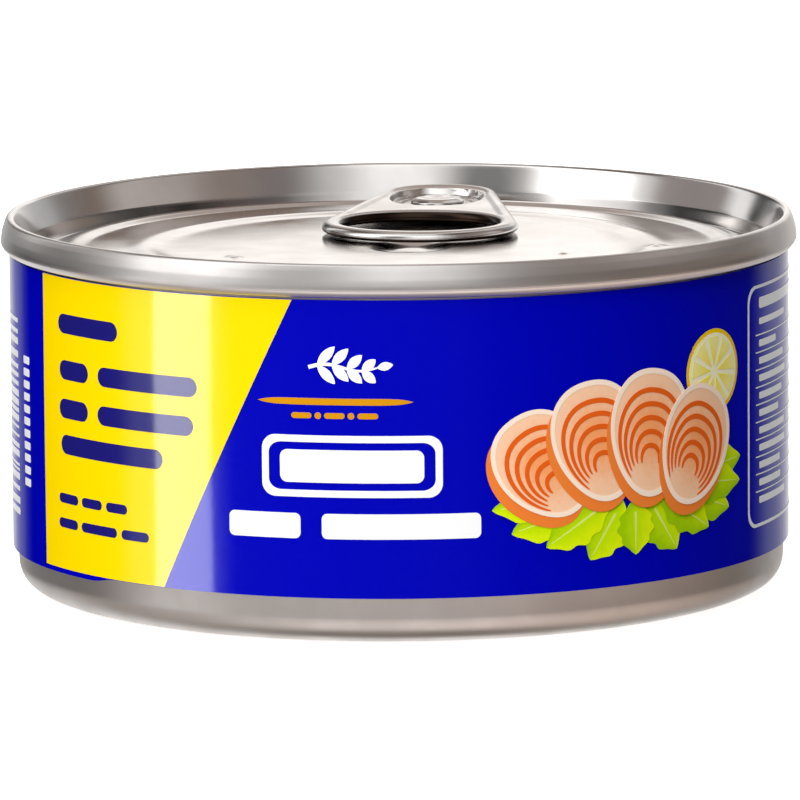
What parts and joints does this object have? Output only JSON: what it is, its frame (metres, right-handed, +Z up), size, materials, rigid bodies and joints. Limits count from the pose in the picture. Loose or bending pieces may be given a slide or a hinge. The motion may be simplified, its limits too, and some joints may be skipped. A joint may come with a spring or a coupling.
{
  "type": "tuna can",
  "caption": "Shut, low round food can with a seamed easy-open lid, a riveted ring pull lying on it and a wrapped paper label.",
  "frame": {"origin": "on the can's axis, in the plane that its base ring stands on", "axes": "+Z up along the can's axis; -Y is the middle of the label's front, and the ring pull's nose points to +Y"},
  "size_m": [0.0874, 0.0874, 0.0409],
  "materials": {
    "satin_steel": "satin",
    "bright_steel": "bright",
    "printed_paper": "glossy"
  },
  "bodies": {
    "root": {"can_body": "satin_steel", "lid": "bright_steel", "ring_pull": "bright_steel", "label": "printed_paper"}
  },
  "joints": []
}
